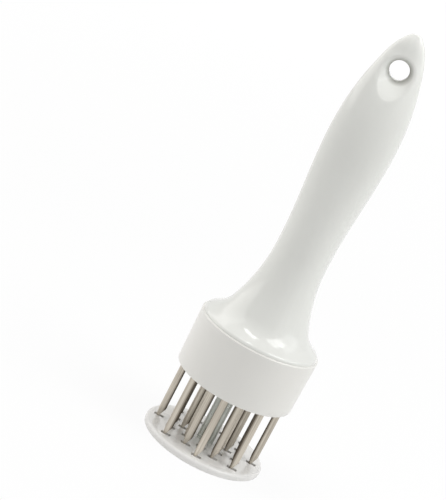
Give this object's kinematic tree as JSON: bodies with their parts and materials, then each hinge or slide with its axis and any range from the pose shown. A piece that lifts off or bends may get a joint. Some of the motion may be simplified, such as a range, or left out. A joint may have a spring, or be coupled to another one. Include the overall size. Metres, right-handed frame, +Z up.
{
  "type": "meat tenderizer",
  "caption": "Hand-held press tenderizer: white handle with hang hole, collar full of pointed steel blades, and a sprung round foot plate that slides up to bare them.",
  "frame": {"origin": "centre of the foot plate's underside, where the tool stands", "axes": "+Z up the tool's axis from the foot plate to the tip of the handle; the hang hole runs along Y and the blades' flat faces look along Y, with -Y as the front"},
  "size_m": [0.0564, 0.0564, 0.2035],
  "materials": {
    "handle_plastic": "moulded, glossy white",
    "collar_plastic": "moulded, satin white",
    "plate_plastic": "moulded, satin white",
    "bush_plastic": "moulded natural acetal",
    "blade_steel": "rolled stainless strip, ground points",
    "stem_steel": "drawn stainless bar",
    "spring_steel": "drawn spring wire",
    "screw_steel": "plain steel screws",
    "plain_steel": "stamped sheet steel"
  },
  "bodies": {
    "head": {"handle": "handle_plastic", "blade_collar": "collar_plastic", "backing_plate": "plain_steel", "guide_bush": "bush_plastic", "collar_screws": "screw_steel", "upper_spring_seat": "plain_steel", "return_spring": "spring_steel", "blade_outer_1": "blade_steel", "blade_outer_2": "blade_steel", "blade_outer_3": "blade_steel", "blade_outer_4": "blade_steel", "blade_outer_5": "blade_steel", "blade_outer_6": "blade_steel", "blade_outer_7": "blade_steel", "blade_outer_8": "blade_steel", "blade_middle_1": "blade_steel", "blade_middle_2": "blade_steel", "blade_middle_3": "blade_steel", "blade_middle_4": "blade_steel", "blade_middle_5": "blade_steel", "blade_middle_6": "blade_steel", "blade_middle_7": "blade_steel", "blade_middle_8": "blade_steel", "blade_inner_1": "blade_steel", "blade_inner_2": "blade_steel", "blade_inner_3": "blade_steel", "blade_inner_4": "blade_steel", "blade_inner_5": "blade_steel", "blade_inner_6": "blade_steel", "blade_inner_7": "blade_steel", "blade_inner_8": "blade_steel"},
    "plunger": {"foot_plate": "plate_plastic", "stem": "stem_steel", "stem_screw": "screw_steel", "stop_ring": "spring_steel", "lower_spring_seat": "plain_steel"}
  },
  "joints": [
    {"name": "plunge", "type": "slide", "parent": "head", "child": "plunger", "axis": [0, 0, 1], "range_m": [0, 0.0292], "stiffness_N_per_m": 500, "springref_m": -0.014, "deforming": ["return_spring"]}
  ]
}
